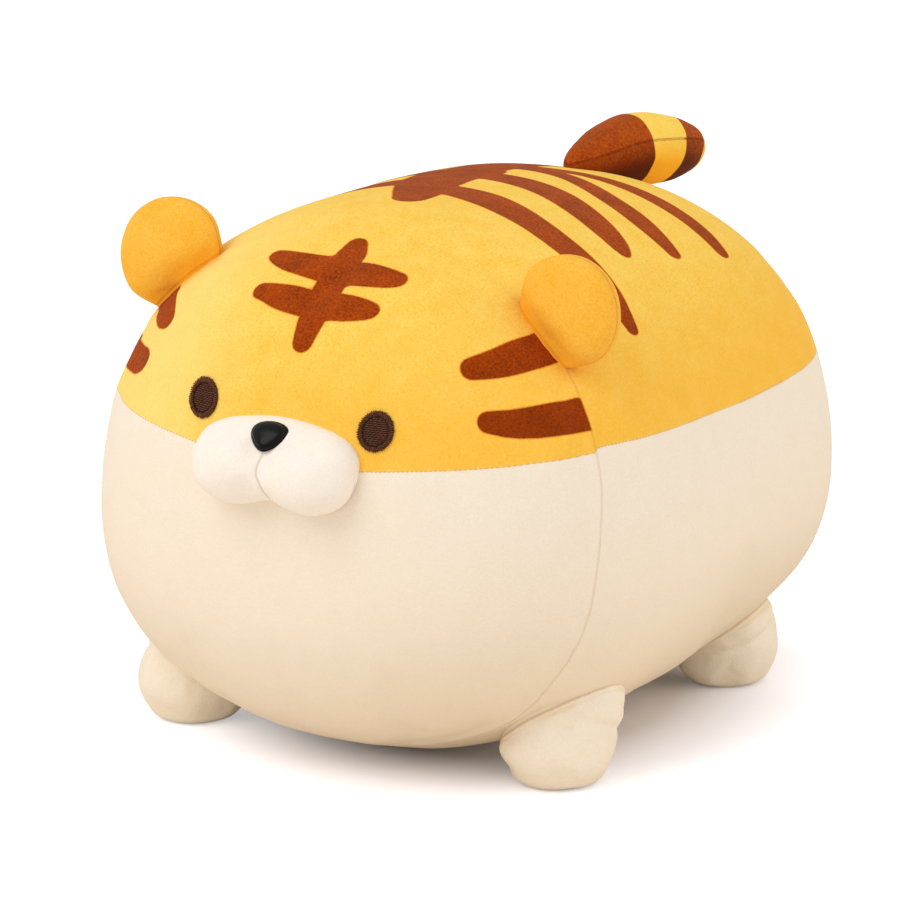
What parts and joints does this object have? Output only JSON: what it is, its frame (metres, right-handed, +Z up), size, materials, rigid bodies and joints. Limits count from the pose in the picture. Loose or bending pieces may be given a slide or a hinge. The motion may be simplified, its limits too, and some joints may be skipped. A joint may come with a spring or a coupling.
{
  "type": "plush tiger toy",
  "caption": "Barrel-shaped stuffed tiger that stands on short stub feet, with round folding ears, a muzzle with a plastic nose and a tail that lifts.",
  "frame": {"origin": "on the floor, below the middle of the overall length and width", "axes": "+Z up, -Y the way the face looks, +X the toy's own left side; +Y along the body to the tail"},
  "size_m": [0.3468, 0.4508, 0.3004],
  "materials": {
    "plush_yellow": "short-pile plush, printed stripes and cream underside",
    "plush_cream": "short-pile plush",
    "plush_white": "short-pile plush",
    "plush_brown": "short-pile plush, printed yellow bands",
    "embroidery_thread": "satin stitch",
    "nose_plastic": "moulded gloss black",
    "washer_plastic": "plain moulded",
    "fibre_filling": "loose polyester fibre"
  },
  "bodies": {
    "trunk": {"face_panel": "plush_yellow", "body_panel": "plush_yellow", "rump_panel": "plush_yellow", "body_filling": "fibre_filling", "muzzle_cover": "plush_white", "muzzle_filling": "fibre_filling", "nose": "nose_plastic", "nose_lock_washer": "washer_plastic", "eye_left": "embroidery_thread", "eye_right": "embroidery_thread", "foot_front_left_cover": "plush_cream", "foot_front_left_filling": "fibre_filling", "foot_front_right_cover": "plush_cream", "foot_front_right_filling": "fibre_filling", "foot_rear_left_cover": "plush_cream", "foot_rear_left_filling": "fibre_filling", "foot_rear_right_cover": "plush_cream", "foot_rear_right_filling": "fibre_filling"},
    "ear_left": {"ear_left_front": "plush_yellow", "ear_left_back": "plush_yellow", "ear_left_filling": "fibre_filling"},
    "ear_right": {"ear_right_front": "plush_yellow", "ear_right_back": "plush_yellow", "ear_right_filling": "fibre_filling"},
    "tail": {"tail_upper_cover": "plush_brown", "tail_lower_cover": "plush_brown", "tail_filling": "fibre_filling"}
  },
  "joints": [
    {"name": "ear_left_fold", "type": "hinge", "parent": "trunk", "child": "ear_left", "pos_m": [0.11551, -0.11093, 0.25391], "axis": [0.7379, -0.0929, -0.6685], "range_deg": [-20, 30], "stiffness_Nm_per_rad": 0.05},
    {"name": "ear_right_fold", "type": "hinge", "parent": "trunk", "child": "ear_right", "pos_m": [-0.11551, -0.11093, 0.25391], "axis": [0.7379, 0.0929, 0.6685], "range_deg": [-20, 30], "stiffness_Nm_per_rad": 0.05},
    {"name": "tail_lift", "type": "hinge", "parent": "trunk", "child": "tail", "pos_m": [0, 0.11489, 0.28096], "axis": [0.9903, -0.1392, 0], "range_deg": [0, 50], "stiffness_Nm_per_rad": 0.3}
  ]
}
